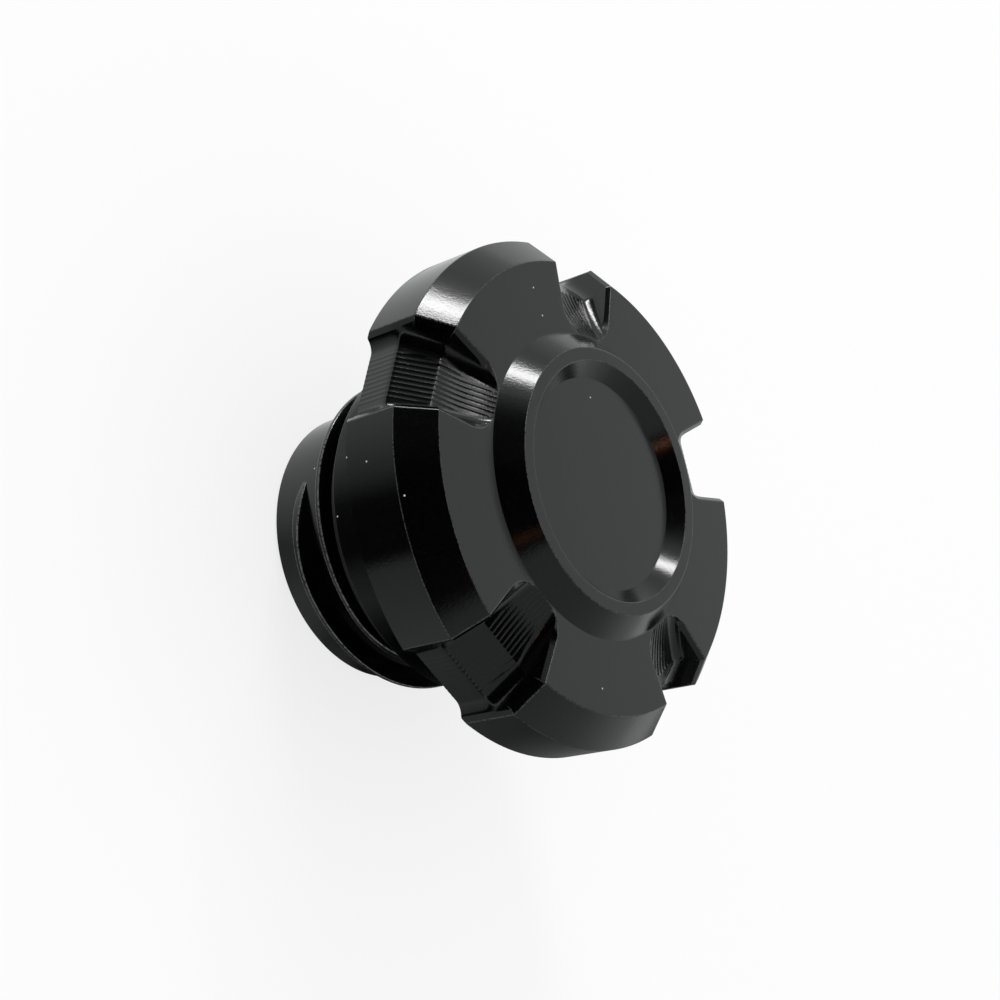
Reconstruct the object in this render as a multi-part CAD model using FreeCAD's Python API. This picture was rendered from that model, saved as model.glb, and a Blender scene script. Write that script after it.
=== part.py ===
import FreeCAD, Part
import math
import os

# A screw-in fuel cap, machined from one piece of billet, with a rubber sealing ring on its neck.
# Z is the screw axis and points out of the filler. The origin is the centre of the neck's end face,
# on which the cap stands. All sizes are in millimetres, all angles in degrees.

# Head: a thick disc with a 45 degree bevel round its outer face
HEAD_DIAMETER = 76.0
HEAD_HEIGHT = 13.5
HEAD_BEVEL = 4.3
HEAD_REAR_BREAK = 0.5

# Raised ring in the middle of the head: 45 degrees inside and out, round a bare disc
RING_BASE_DIAMETER = 45.8
RING_HEIGHT = 3.1
RING_TOP_WIDTH = 1.9
RING_INNER_BEVEL = 2.1

# Boss behind the head and the plain neck that enters the filler
BOSS_DIAMETER = 52.4
BOSS_LENGTH = 14.2
NECK_DIAMETER = 42.6
NECK_LENGTH = 18.0
NECK_END_BREAK = 0.6
NECK_WALL = 4.4
BORE_DEPTH = 34.0
BORE_CORNER_BREAK = 1.5

# Thread: one right-hand ridge on the neck, with a run-out at both ends
THREAD_DIAMETER = 48.4
THREAD_PITCH = 6.0
THREAD_TURNS = 1.29
THREAD_CREST_WIDTH = 0.7
THREAD_FLANK_ANGLE = 12.5
THREAD_ROOT_OVERLAP = 0.6
THREAD_START_HEIGHT = 6.17
THREAD_START_ANGLE = -133.0
RUN_OUT_ANGLE = 48.0
RUN_OUT_OFFSET = 7.0

# Finger scallops: milled pockets with radial walls, whose floor follows the head's side, bevel and face
SCALLOP_COUNT = 5
SCALLOP_START_ANGLE = 9.0
SCALLOP_HALF_ANGLE = 10.5
SCALLOP_SIDE_DEPTH = 2.5
SCALLOP_FACE_DEPTH = 4.0
SCALLOP_RING_GAP = 0.2
FLOOR_ARC_RADIUS = 28.0
FLOOR_CREASE_RADIUS = 0.6
CUTTER_RADIUS = 2.0
EDGE_BREAK = 0.7
EDGE_BREAK_RING_GAP = 2.3

# Sealing ring: a round cord drawn with narrow flats, two of which seat on the neck and on the boss
SEAL_CORD = 3.0
SEAL_FLATS = 10

# How far cutting tools reach past the surface that they cut, and how far an edge break's tool overlaps
REACH = 1.0
BREAK_OVERLAP = 0.6

# Points closer than this are the same
SAME = 1e-6

# Heights and radii that follow from the sizes above
HEAD_RADIUS = HEAD_DIAMETER / 2
NECK_RADIUS = NECK_DIAMETER / 2
BOSS_RADIUS = BOSS_DIAMETER / 2
RING_BASE_RADIUS = RING_BASE_DIAMETER / 2
THREAD_RADIUS = THREAD_DIAMETER / 2
BORE_RADIUS = NECK_RADIUS - NECK_WALL
SHOULDER_Z = NECK_LENGTH
HEAD_REAR_Z = SHOULDER_Z + BOSS_LENGTH
FACE_Z = HEAD_REAR_Z + HEAD_HEIGHT
RING_TOP_Z = FACE_Z + RING_HEIGHT
DISC_Z = RING_TOP_Z - RING_INNER_BEVEL
EDGE_BREAK_START = RING_BASE_RADIUS + EDGE_BREAK_RING_GAP
Z_AXIS = FreeCAD.Vector(0, 0, 1)
ORIGIN = FreeCAD.Vector(0, 0, 0)


def at(radius, height, side=0.0):
    """A point in the plane through the axis, with radius along X and an optional offset along Y."""
    return FreeCAD.Vector(radius, side, height)


def polar(radius, angle, height=0.0):
    """A point at an angle round the axis."""
    turn = math.radians(angle)
    return FreeCAD.Vector(radius * math.cos(turn), radius * math.sin(turn), height)


def line(start, end):
    """A straight edge."""
    return Part.LineSegment(start, end).toShape()


def turned(shape, angle):
    """A copy of a shape, turned about the axis."""
    copy = shape.copy()
    copy.rotate(ORIGIN, Z_AXIS, angle)
    return copy


def billet():
    """The cap as it leaves the lathe: head, ring, boss, neck and the blind bore that lightens the neck."""
    ring_top_radius = RING_BASE_RADIUS - RING_HEIGHT
    ring_inner_radius = ring_top_radius - RING_TOP_WIDTH
    outline = [
        at(0, BORE_DEPTH),
        at(0, DISC_Z),
        at(ring_inner_radius - RING_INNER_BEVEL, DISC_Z),
        at(ring_inner_radius, RING_TOP_Z),
        at(ring_top_radius, RING_TOP_Z),
        at(RING_BASE_RADIUS, FACE_Z),
        at(HEAD_RADIUS - HEAD_BEVEL, FACE_Z),
        at(HEAD_RADIUS, FACE_Z - HEAD_BEVEL),
        at(HEAD_RADIUS, HEAD_REAR_Z + HEAD_REAR_BREAK),
        at(HEAD_RADIUS - HEAD_REAR_BREAK, HEAD_REAR_Z),
        at(BOSS_RADIUS, HEAD_REAR_Z),
        at(BOSS_RADIUS, SHOULDER_Z),
        at(NECK_RADIUS, SHOULDER_Z),
        at(NECK_RADIUS, NECK_END_BREAK),
        at(NECK_RADIUS - NECK_END_BREAK, 0),
        at(BORE_RADIUS, 0),
        at(BORE_RADIUS, BORE_DEPTH - BORE_CORNER_BREAK),
        at(BORE_RADIUS - BORE_CORNER_BREAK, BORE_DEPTH),
        at(0, BORE_DEPTH),
    ]
    return Part.Face(Part.makePolygon(outline)).revolve(ORIGIN, Z_AXIS, 360)


def floor_face(half_width):
    """Side view of what a scallop's cutter removes, from behind the head to the foot of the ring."""
    side_radius = HEAD_RADIUS - SCALLOP_SIDE_DEPTH
    face_end = at(side_radius - HEAD_BEVEL, FACE_Z - SCALLOP_FACE_DEPTH, -half_width)
    side_end = at(side_radius, FACE_Z - SCALLOP_FACE_DEPTH - HEAD_BEVEL, -half_width)
    ring_end = at(RING_BASE_RADIUS + SCALLOP_RING_GAP, FACE_Z, -half_width)
    chord = ring_end - face_end
    sag = FLOOR_ARC_RADIUS - math.sqrt(FLOOR_ARC_RADIUS ** 2 - (chord.Length / 2) ** 2)
    below = FreeCAD.Vector(-chord.z, 0, chord.x).normalize()
    arc_middle = face_end + chord * 0.5 + below * sag
    above = FACE_Z + REACH
    outside = HEAD_RADIUS + REACH
    behind = HEAD_REAR_Z - REACH
    rest = [
        ring_end,
        at(ring_end.x, above, -half_width),
        at(outside, above, -half_width),
        at(outside, behind, -half_width),
        at(side_radius, behind, -half_width),
        side_end,
        face_end,
    ]
    edges = [line(start, end) for start, end in zip(rest, rest[1:])]
    edges.append(Part.Arc(face_end, arc_middle, ring_end).toShape())
    return Part.Face(Part.Wire(edges)), (side_end, face_end)


def scallop_pocket():
    """What a round-nosed cutter removes for one scallop: radial walls on a floor, with a round foot."""
    wall_slope = math.tan(math.radians(SCALLOP_HALF_ANGLE))
    wedge_length = HEAD_RADIUS + 2 * REACH
    half_width = wedge_length * wall_slope
    face, creases = floor_face(half_width)
    prism = face.extrude(FreeCAD.Vector(0, 2 * half_width, 0))
    crease_edges = [edge for edge in prism.Edges if is_crease(edge, creases)]
    prism = prism.makeFillet(FLOOR_CREASE_RADIUS, crease_edges)
    corners = [ORIGIN, at(wedge_length, 0, -half_width), at(wedge_length, 0, half_width), ORIGIN]
    wedge = Part.Face(Part.makePolygon(corners)).extrude(at(0, RING_TOP_Z + REACH))
    pocket = prism.common(wedge)
    foot_edges = [edge for edge in pocket.Edges if is_foot(edge, pocket.BoundBox, wall_slope)]
    return pocket.makeFillet(CUTTER_RADIUS, foot_edges)


def is_crease(edge, creases):
    """Whether an edge of the prism runs across it at a bend of the floor."""
    middle = edge.CenterOfMass
    return any(math.hypot(middle.x - crease.x, middle.z - crease.z) < SAME for crease in creases)


def is_foot(edge, box, wall_slope):
    """Whether an edge of the pocket is where a radial wall stands on the floor."""
    middle = edge.valueAt((edge.FirstParameter + edge.LastParameter) / 2)
    on_wall = abs(abs(middle.y) - middle.x * wall_slope) < SAME
    on_floor = middle.x < box.XMax - REACH and box.ZMin < middle.z < FACE_Z - SAME
    return on_wall and on_floor


def rim_outline(inset, side):
    """The head's side view in a wall's own plane, moved inwards by inset, closed round the outside."""
    mitre = inset * (math.sqrt(2) - 1)
    above = FACE_Z + REACH
    outside = HEAD_RADIUS + REACH
    behind = HEAD_REAR_Z - REACH
    return Part.makePolygon([
        at(EDGE_BREAK_START + inset, FACE_Z - inset, side),
        at(HEAD_RADIUS - HEAD_BEVEL - mitre, FACE_Z - inset, side),
        at(HEAD_RADIUS - inset, FACE_Z - HEAD_BEVEL - mitre, side),
        at(HEAD_RADIUS - inset, behind, side),
        at(outside, behind, side),
        at(outside, above, side),
        at(EDGE_BREAK_START + inset, above, side),
        at(EDGE_BREAK_START + inset, FACE_Z - inset, side),
    ])


def edge_breaks():
    """The 45 degree breaks along a scallop's two wall edges, mitred where the head's outline bends."""
    depth = EDGE_BREAK + BREAK_OVERLAP
    sections = [rim_outline(depth, -BREAK_OVERLAP), rim_outline(-BREAK_OVERLAP, depth)]
    left = turned(Part.makeLoft(sections, True, True), SCALLOP_HALF_ANGLE)
    right = left.mirror(ORIGIN, FreeCAD.Vector(0, 1, 0))
    return [left, right]


def run_out(angle, middle_angle, bottom, top):
    """What trims the ridge towards one end: everything outside a circle set off the axis."""
    radius = THREAD_RADIUS - RUN_OUT_OFFSET
    past_end = angle + (angle - middle_angle) / 4

    def on_circle(turn):
        lean = math.radians(turn - middle_angle)
        along = RUN_OUT_OFFSET * math.cos(lean)
        across = RUN_OUT_OFFSET * math.sin(lean)
        return polar(along + math.sqrt(radius ** 2 - across ** 2), turn)

    halfway = (past_end + middle_angle) / 2
    outer_radius = THREAD_RADIUS + 3 * REACH
    outside = [on_circle(middle_angle)]
    outside += [polar(outer_radius, turn) for turn in (middle_angle, halfway, past_end)]
    outside.append(on_circle(past_end))
    edges = [line(start, end) for start, end in zip(outside, outside[1:])]
    edges.append(Part.Arc(on_circle(past_end), on_circle(halfway), on_circle(middle_angle)).toShape())
    trim = Part.Face(Part.Wire(edges)).extrude(at(0, top - bottom))
    trim.translate(at(0, bottom))
    return trim


def thread_ridge():
    """The right-hand ridge, swept up the neck and run out at both ends."""
    rise = THREAD_PITCH * THREAD_TURNS
    foot_radius = NECK_RADIUS - THREAD_ROOT_OVERLAP
    crest_half = THREAD_CREST_WIDTH / 2
    foot_half = crest_half + (THREAD_RADIUS - foot_radius) * math.tan(math.radians(THREAD_FLANK_ANGLE))
    section = Part.makePolygon([
        at(foot_radius, -foot_half),
        at(THREAD_RADIUS, -crest_half),
        at(THREAD_RADIUS, crest_half),
        at(foot_radius, foot_half),
        at(foot_radius, -foot_half),
    ])
    sweep = Part.BRepOffsetAPI.MakePipeShell(Part.makeHelix(THREAD_PITCH, rise, NECK_RADIUS))
    sweep.setFrenetMode(True)
    sweep.add(section)
    sweep.build()
    sweep.makeSolid()
    end_angle = 360 * THREAD_TURNS
    half_pitch = THREAD_PITCH / 2
    ridge = sweep.shape().cut([
        run_out(0, RUN_OUT_ANGLE, -half_pitch, half_pitch),
        run_out(end_angle, end_angle - RUN_OUT_ANGLE, rise - half_pitch, rise + half_pitch),
    ])
    ridge.translate(at(0, THREAD_START_HEIGHT))
    return turned(ridge, THREAD_START_ANGLE)


def cap_body():
    """The finished billet piece: scallops and edge breaks cut away, thread ridge on the neck."""
    pocket = scallop_pocket()
    breaks = edge_breaks()
    cuts = []
    for number in range(SCALLOP_COUNT):
        angle = SCALLOP_START_ANGLE + 360 * number / SCALLOP_COUNT
        cuts += [turned(tool, angle) for tool in [pocket, *breaks]]
    return billet().cut(cuts).fuse(thread_ridge()).removeSplitter()


def seal_ring():
    """The sealing ring: a cord turned about the axis, one flat on the neck and one against the boss."""
    cord_radius = SEAL_CORD / 2
    half_flat = math.pi / SEAL_FLATS
    corner_radius = cord_radius / math.cos(half_flat)
    corners = []
    for number in range(SEAL_FLATS + 1):
        turn = half_flat * (2 * number + 1)
        across = corner_radius * math.cos(turn)
        along = corner_radius * math.sin(turn)
        corners.append(at(NECK_RADIUS + cord_radius + across, SHOULDER_Z - cord_radius + along))
    return Part.Face(Part.makePolygon(corners)).revolve(ORIGIN, Z_AXIS, 360)


os.makedirs("parts", exist_ok=True)
for node, shape in {"cap_body": cap_body(), "seal_ring": seal_ring()}.items():
    shape.exportStep("parts/" + node + ".step")
    print(node, "solids", len(shape.Solids), "valid", shape.isValid(), "mm3", round(shape.Volume, 1))
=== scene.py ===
import math
from collections import namedtuple

import bmesh
import bpy
from mathutils import Matrix, Quaternion, Vector


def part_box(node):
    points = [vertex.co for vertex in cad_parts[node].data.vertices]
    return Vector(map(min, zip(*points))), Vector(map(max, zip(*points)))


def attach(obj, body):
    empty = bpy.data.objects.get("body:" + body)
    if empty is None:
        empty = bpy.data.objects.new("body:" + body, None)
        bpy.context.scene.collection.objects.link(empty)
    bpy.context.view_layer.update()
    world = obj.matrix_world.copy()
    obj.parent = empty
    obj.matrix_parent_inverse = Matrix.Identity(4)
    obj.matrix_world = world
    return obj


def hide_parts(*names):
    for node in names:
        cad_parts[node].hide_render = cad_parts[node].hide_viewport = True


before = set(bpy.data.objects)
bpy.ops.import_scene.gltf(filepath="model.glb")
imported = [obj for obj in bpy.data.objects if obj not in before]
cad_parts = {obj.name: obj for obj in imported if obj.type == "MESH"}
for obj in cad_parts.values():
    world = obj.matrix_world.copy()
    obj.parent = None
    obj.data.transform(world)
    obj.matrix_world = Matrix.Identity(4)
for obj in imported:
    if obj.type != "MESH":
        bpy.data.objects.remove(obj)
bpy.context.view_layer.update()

bl_info = {
    "name": "Billet fuel cap",
    "version": (1, 0, 0),
    "blender": (4, 5, 0),
    "location": "3D View > Sidebar > Fuel cap",
    "description": "Builds the looks of a screw-in billet fuel cap around its solids",
    "category": "Add Mesh",
}

# The frame gives the cap's overall height and the seal's cord.
# Sizes are written in millimetres and kept in metres.
MM = 0.001
CAP_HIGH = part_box("cap_body")[1]
SEAL_LOW, SEAL_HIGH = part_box("seal_ring")

# How finely the curved surfaces are divided
PASS_PARTS = 4
FOOT_PARTS = 9
LOBE_PARTS = 12
FLOOR_ARC_PARTS = 18
CREASE_PARTS = 4
BEVEL_PARTS = 8
SIDE_PARTS = 5
CORNER_PARTS = 6
SHOULDER_PARTS = 8
CREST_PARTS = 7
REAR_PARTS = 5
SEAL_PARTS = 180
CORD_PARTS = 32
DISC_PARTS = 96
TENT_PARTS = 5

# Steps of a search between two values, and the slowest climb that counts as one
HALVINGS = 30
LEAST_SPEED = 1e-6

# The round foot of a scallop's wall: the least share of it that the edge break leaves, the lean at which it
# stands upright, and how steeply a floor faces up where the foot may end in the face
BREAK_FOOT = 0.75
UPRIGHT_LEAN = math.radians(89.9)
FACING_UP = 0.5

# The most of an edge's width that its softening takes, and how far a softened corner spreads the floor's rows
SOFT_SHARE = 0.4
CORNER_SPREAD = 0.25

# The anodised finish: scale of its mottle, height of its relief, and the values between which a pattern shows
MOTTLE_SCALE = 260.0
MOTTLE_ROUGHNESS = 0.06
GRAIN_HEIGHT = 0.018 * MM
GRAIN_STRENGTH = 0.7
TURNING_SHARE = 0.6
TURNED_FACES = (0.985, 0.998)
FLECKS = (0.5, 0.8)
WORN_AND_HIGHLIT_GRAIN = (0.3, 0.6)
DUST_ROUGHNESS = 0.6
ANODISED_IOR = 1.5

# The rubber finish: scales of its bloom and its skin, and how strongly they show
BLOOM_SCALE = 420.0
BLOOM_PATCHES = (0.45, 0.75)
BLOOM_ROUGHNESS = 0.3
SKIN_SCALE = 6500.0
SKIN_HEIGHT = 0.02 * MM
SKIN_STRENGTH = 0.5
RUBBER_SHINE = 0.2

# Brightness of the tent's wall, by degrees round the axis
TENT_WALL = (
    (-180, 0.28), (-172, 0.06), (-155, 0.03), (-140, 0.03), (-128, 0.0), (-60, 0.01), (-55, 0.41),
    (-10, 0.4), (15, 0.46), (30, 0.66), (60, 0.82), (110, 0.75), (140, 0.62), (172, 0.62), (180, 0.28))

# The part of the mat's brightness that two of its rings share
MAT_LEFT = (
    (-180, 0.86), (-156, 0.86), (-144, 0.66), (-132, 0.51), (-120, 0.28), (-112, 0.02), (-91.5, 0.01),
    (-89.5, 0.35), (-60, 0.5), (-48, 0.3))

# The mat's rings: name, outer radius, and brightness by degrees round the axis
# The rings glow and show only in the gloss. Their brightness is painted light and shade of the floor: the
# cap's shadow, and a painted shadow ring under the head in mat_shade.
MAT_RINGS = (
    ("mat_far", 900, ((-180, 0.9), (-45, 0.9), (-34, 0.05), (22, 0.03), (32, 0.9), (180, 0.9))),
    ("mat", 300, MAT_LEFT + ((-36, 0.2), (-26, 0.03), (10, 0.02), (40, 0.2), (90, 0.86), (180, 0.86))),
    ("mat_front", 88, MAT_LEFT + ((-30, 0.2), (-10, 0.1), (40, 0.2), (90, 0.86), (180, 0.86))),
    ("mat_shade", 59, (
        (-180, 0.2), (-165, 0.35), (-144, 0.46), (-132, 0.26), (-120, 0.04), (-96, 0.01), (-84, 0.16),
        (-72, 0.22), (-60, 0.07), (-48, 0.0), (20, 0.02), (90, 0.3), (180, 0.2))),
    ("mat_middle", 41, (
        (-180, 0.8), (-144, 0.8), (-132, 0.74), (-120, 0.6), (-108, 0.33), (-96, 0.35), (-84, 0.47),
        (-72, 0.39), (-60, 0.18), (-48, 0.15), (-36, 0.02), (20, 0.04), (90, 0.7), (180, 0.8))))

# Cards in the tent: name, azimuth, elevation and radius in degrees, distance, and brightness in red, green
# and blue
CARDS = (
    ("black_card", 45, 54, 22, 2750, (0.0, 0.0, 0.0)),
    ("side_card", 51, 26, 5, 2700, (0.02, 0.02, 0.02)),
    ("low_card", -13, 3, 11, 2650, (0.04, 0.04, 0.04)),
    ("front_card", 6, -4, 10, 2600, (0.03, 0.03, 0.03)),
    ("ceiling_shade", 192, 66, 15, 2700, (0.0, 0.0, 0.0)),
    ("top_panel", 148, 50, 11.5, 2650, (2.0, 2.0, 2.0)),
    ("top_lamp", 166, 58, 4, 2600, (8.0, 8.0, 8.0)),
    ("warm_lamp", -65.4, 68.5, 1.5, 185, (4.2, 1.9, 1.05)),
    ("warm_rim", -72.4, 54.2, 1.3, 200, (1.1, 0.44, 0.18)))

# The tent's white is faintly green. Its wall ends a little under the floor, and the mat's rings lie apart.
TENT_TINT = (0.955, 1.005, 0.985)
TENT_FOOT = -0.05
SHEET_GAP = 0.1 * MM

# The camera's sensor in millimetres, and the nearest thing that it sees
SENSOR = 36
NEAR_CLIP = 10 * MM

# Specks of dust on the cap: places in millimetres
DUST = (
    (-16.58, -34.19, 32.74), (-15.3, -34.78, 36.42), (-9.66, -36.2, 41.93), (-8.45, -24.8, 18.55),
    (-15.49, -14.62, 7.8), (-25.69, 1.23, 45.7), (-12.1, 4.42, 46.7), (26.12, -14.9, 45.7),
    (-29.91, 1.41, 45.7))

# Points closer than this become one. A skin's own points are told apart more finely.
MERGE_DISTANCE = 0.002 * MM
POINT_DISTANCE = MERGE_DISTANCE / 10

# Rounded edges have faces narrower than this, which bend at least this much. The black is thinner there and a
# highlight is painted along them, less so on the head, and on the thread only where it stands this far off
# the neck.
EDGE_FACE_WIDTH = 0.062 * MM
EDGE_BEND = math.radians(1)
EDGE_RISE = 0.15 * MM
HEAD_WEAR_AND_HIGHLIGHT = 0.3

# Edges that bend more than this stay crisp
CRISP_ANGLE = math.radians(14)


def length(name, description, millimetres):
    """A size that a user can change."""
    return bpy.props.FloatProperty(
        name=name, description=description, default=millimetres * MM, precision=5, unit="LENGTH")


def angle(name, description, degrees):
    """An angle that a user can change."""
    return bpy.props.FloatProperty(
        name=name, description=description, default=math.radians(degrees), subtype="ANGLE", unit="ROTATION")


def share(name, description, value, most=1.0):
    """A plain number that a user can change."""
    return bpy.props.FloatProperty(
        name=name, description=description, default=value, min=0.0, max=most, precision=4)


def colour(name, description, red, green, blue):
    """A colour that a user can change."""
    return bpy.props.FloatVectorProperty(
        name=name, description=description, default=(red, green, blue, 1.0),
        size=4, min=0.0, max=1.0, subtype="COLOR")


class HeadSizes(bpy.types.PropertyGroup):
    """The head, its bevel and the raised ring on its face."""
    radius: length("Radius", "Radius over the lobes", 38.0)
    height: length("Height", "From the rear face to the front face", 13.5)
    bevel: length("Bevel", "Width and height of the 45 degree bevel", 4.3)
    rear_break: length("Rear break", "Broken edge at the back of the lobes", 0.5)
    ring_radius: length("Ring radius", "Radius of the ring at its foot", 22.9)
    ring_height: length("Ring height", "Height of the ring above the face", 3.1)
    ring_top: length("Ring top", "Width of the ring's flat top", 1.9)
    ring_inner_bevel: length("Ring inner bevel", "Bevel down to the disc", 2.1)
    corner_round: length("Corner round", "Softening of the turned corners", 0.1)


class ScallopSizes(bpy.types.PropertyGroup):
    """The milled finger scallops."""
    count: bpy.props.IntProperty(name="Count", description="Scallops round the head", default=5, min=3)
    start_angle: angle("Start angle", "Where the first scallop is", 9.0)
    half_angle: angle("Half angle", "From a scallop's middle to its wall", 10.5)
    side_depth: length("Side depth", "Depth in the side of the head", 2.5)
    face_depth: length("Face depth", "Depth of the floor's bend below the face", 4.0)
    ring_gap: length("Ring gap", "From the ring's foot to the floor's start", 0.2)
    floor_radius: length("Floor radius", "Radius of the hollow part of the floor", 28.0)
    crease_radius: length("Crease radius", "Rounding of the floor's two bends", 1.2)
    cutter_radius: length("Cutter radius", "Radius of the ball-nosed cutter", 2.0)
    pass_spacing: length("Pass spacing", "Distance between the cutter's passes", 0.8)
    edge_break: length("Edge break", "Width of the break along the walls' edges", 0.6)
    edge_break_gap: length("Edge break gap", "From the ring's foot to where the edge break starts", 0.9)
    edge_break_taper: length("Edge break taper", "Length over which the edge break grows", 2.8)
    edge_round: length("Edge round", "Softening of the scallops' edges", 0.16)
    bevel_ridges: share("Bevel ridges", "Height of the passes' ridges on the floor's bevel", 0.85)
    side_ridges: share("Side ridges", "Height of the passes' ridges on the floor's side", 1.0)


class NeckSizes(bpy.types.PropertyGroup):
    """The boss behind the head and the hollow neck."""
    boss_radius: length("Boss radius", "Radius of the boss", 26.2)
    boss_length: length("Boss length", "From the shoulder to the head", 14.2)
    radius: length("Neck radius", "Radius of the neck", 21.3)
    end_break: length("End break", "Broken edge at the neck's end", 0.6)
    bore_radius: length("Bore radius", "Radius of the blind bore", 16.9)
    bore_depth: length("Bore depth", "Depth of the blind bore", 34.0)
    bore_corner: length("Bore corner", "Bevel at the bottom of the bore", 1.5)


class ThreadSizes(bpy.types.PropertyGroup):
    """The ridge of the thread on the neck."""
    radius: length("Crest radius", "Radius over the crest", 24.2)
    pitch: length("Pitch", "Rise in one turn", 6.0)
    turns: share("Turns", "Length of the ridge in turns", 1.29, most=4.0)
    crest_width: length("Crest width", "Width of the crest", 0.7)
    crest_round: length("Crest round", "Softening of the crest's edges", 0.2)
    flank_angle: angle("Flank angle", "Lean of the ridge's flanks", 12.5)
    start_height: length("Start height", "Height of the ridge's start above the neck's end", 6.17)
    start_angle: angle("Start angle", "Where the ridge starts", -133.0)
    run_out_angle: angle("Run-out angle", "Length of the run-out at both ends", 48.0)
    run_out_offset: length("Run-out offset", "How far the run-out's circle lies off the axis", 7.0)
    tip_angle: angle("Tip angle", "Length of the pointed tips at both ends", 16.0)
    lead_angle: angle("Lead angle", "Plain stretch before the ridge starts", 30.0)


class SealSizes(bpy.types.PropertyGroup):
    """The sealing ring, whose cord comes from the frame."""
    cord: length("Cord", "Thickness of the cord", (SEAL_HIGH.z - SEAL_LOW.z) / MM)
    height: length("Height", "Height of the cord's middle", (SEAL_HIGH.z + SEAL_LOW.z) / 2 / MM)


class FinishColours(bpy.types.PropertyGroup):
    """Colours and gloss of the finishes."""
    anodised: colour("Anodised", "Black of the anodised billet", 0.0007, 0.0007, 0.0008)
    anodised_fleck: colour("Anodised fleck", "Paler flecks in the black", 0.004, 0.004, 0.0043)
    # Paler rounded edges: partly thinner black from wear, partly a painted highlight along the edges
    worn_edge_and_highlight: colour("Worn edge", "Thin black on the rounded edges", 0.13, 0.13, 0.135)
    anodised_roughness: share("Anodised roughness", "Roughness of the anodised billet", 0.14)
    grain: length("Grain", "Size of the satin grain", 0.3)
    turning: length("Turning marks", "Distance between the turning marks", 0.3)
    dust: colour("Dust", "Pale specks of dust", 0.62, 0.62, 0.6)
    dust_size: length("Dust size", "Radius of a speck of dust", 0.16)
    seal: colour("Seal", "Black of the rubber", 0.003, 0.003, 0.003)
    seal_bloom: colour("Seal bloom", "Greyer patches of the rubber", 0.007, 0.007, 0.007)
    seal_roughness: share("Seal roughness", "Roughness of the rubber", 0.55)
    floor: colour("Floor", "Pale floor", 0.93, 0.93, 0.93)
    floor_glow: share("Floor glow", "How far the floor reads as plain white", 0.75)


class StudioSizes(bpy.types.PropertyGroup):
    """Camera, lights and floor."""
    lens: bpy.props.FloatProperty(
        name="Lens", description="Focal length on a 36 mm sensor", default=64.43, unit="CAMERA")
    aim: bpy.props.FloatVectorProperty(
        name="Aim", description="Point that the camera looks at", size=3, precision=5,
        default=(-1.628 * MM, 0.184 * MM, 27.739 * MM), subtype="TRANSLATION", unit="LENGTH")
    distance: length("Distance", "From the camera to that point", 270.93)
    azimuth: angle("Azimuth", "Direction of the camera round the axis", -96.44)
    elevation: angle("Elevation", "Height of the camera above the horizon", 38.295)
    roll: angle("Roll", "Turn of the camera about its own line of sight", 74.43)
    floor_radius: length("Floor radius", "Radius of the floor", 3000.0)
    room_light: share("Room light", "Brightness of the white room", 0.85)
    softbox_azimuth: angle("Softbox azimuth", "Direction of the softbox", 159.7)
    softbox_elevation: angle("Softbox elevation", "Height of the softbox", 23.5)
    softbox_roll: angle("Softbox roll", "Lean of the softbox's long side", 38.0)
    softbox_distance: length("Softbox distance", "From the cap to the softbox", 2400.0)
    softbox_width: length("Softbox width", "Short side of the softbox", 350.0)
    softbox_length: length("Softbox length", "Long side of the softbox", 1000.0)
    softbox_radiance: share("Softbox radiance", "Brightness of the softbox's face", 22.0, most=200.0)
    tent_radius: length("Tent radius", "Radius of the painted tent that the gloss picks up", 2900.0)


class CapSettings(bpy.types.PropertyGroup):
    """Everything that a user can change about the cap and its studio."""
    head: bpy.props.PointerProperty(type=HeadSizes)
    scallop: bpy.props.PointerProperty(type=ScallopSizes)
    neck: bpy.props.PointerProperty(type=NeckSizes)
    thread: bpy.props.PointerProperty(type=ThreadSizes)
    seal: bpy.props.PointerProperty(type=SealSizes)
    finish: bpy.props.PointerProperty(type=FinishColours)
    studio: bpy.props.PointerProperty(type=StudioSizes)


class Signal:
    """A socket of a node tree that takes part in Python expressions."""

    def __init__(self, tree, socket):
        self.tree = tree
        self.socket = socket

    def node(self, kind, settings, inputs, output=0):
        """Adds a node of that type, sets its settings, then its sockets, and returns one output."""
        return add_node(self.tree, kind, settings, inputs, output)

    def maths(self, operation, first, second=0.0):
        """One step of arithmetic on two values."""
        return self.node("ShaderNodeMath", {"operation": operation}, {0: first, 1: second})

    def __add__(self, other):
        return self.maths("ADD", self, other)

    def __radd__(self, other):
        return self.maths("ADD", other, self)

    def __sub__(self, other):
        return self.maths("SUBTRACT", self, other)

    def __rsub__(self, other):
        return self.maths("SUBTRACT", other, self)

    def __mul__(self, other):
        return self.maths("MULTIPLY", self, other)

    def __rmul__(self, other):
        return self.maths("MULTIPLY", other, self)

    def __truediv__(self, other):
        return self.maths("DIVIDE", self, other)

    def __rtruediv__(self, other):
        return self.maths("DIVIDE", other, self)


def add_node(tree, kind, settings, inputs, output=0):
    """Adds a node to a tree. Settings come first, then socket values or links. Returns one output."""
    node = tree.nodes.new(kind)
    for name, value in settings.items():
        setattr(node, name, value)
    for name, value in inputs.items():
        if isinstance(value, Signal):
            tree.links.new(value.socket, node.inputs[name])
        else:
            node.inputs[name].default_value = value
    if not node.outputs:
        return None
    return Signal(tree, node.outputs[output])


def new_material(name):
    """An empty material and its node tree."""
    material = bpy.data.materials.new(name)
    material.use_nodes = True
    material.node_tree.nodes.clear()
    return material, material.node_tree


def finished(material, shader):
    """A material whose surface is that shader."""
    shader.node("ShaderNodeOutputMaterial", {}, {"Surface": shader})
    return material


def noise(place, scale, detail):
    """A cloudy pattern in a piece's own space."""
    return place.node("ShaderNodeTexNoise", {}, {"Vector": place, "Scale": scale, "Detail": detail}, "Fac")


def bumps(relief, strength, height):
    """The direction of a surface with a fine relief."""
    return relief.node(
        "ShaderNodeBump", {}, {"Strength": strength, "Distance": height, "Height": relief}, "Normal")


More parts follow.
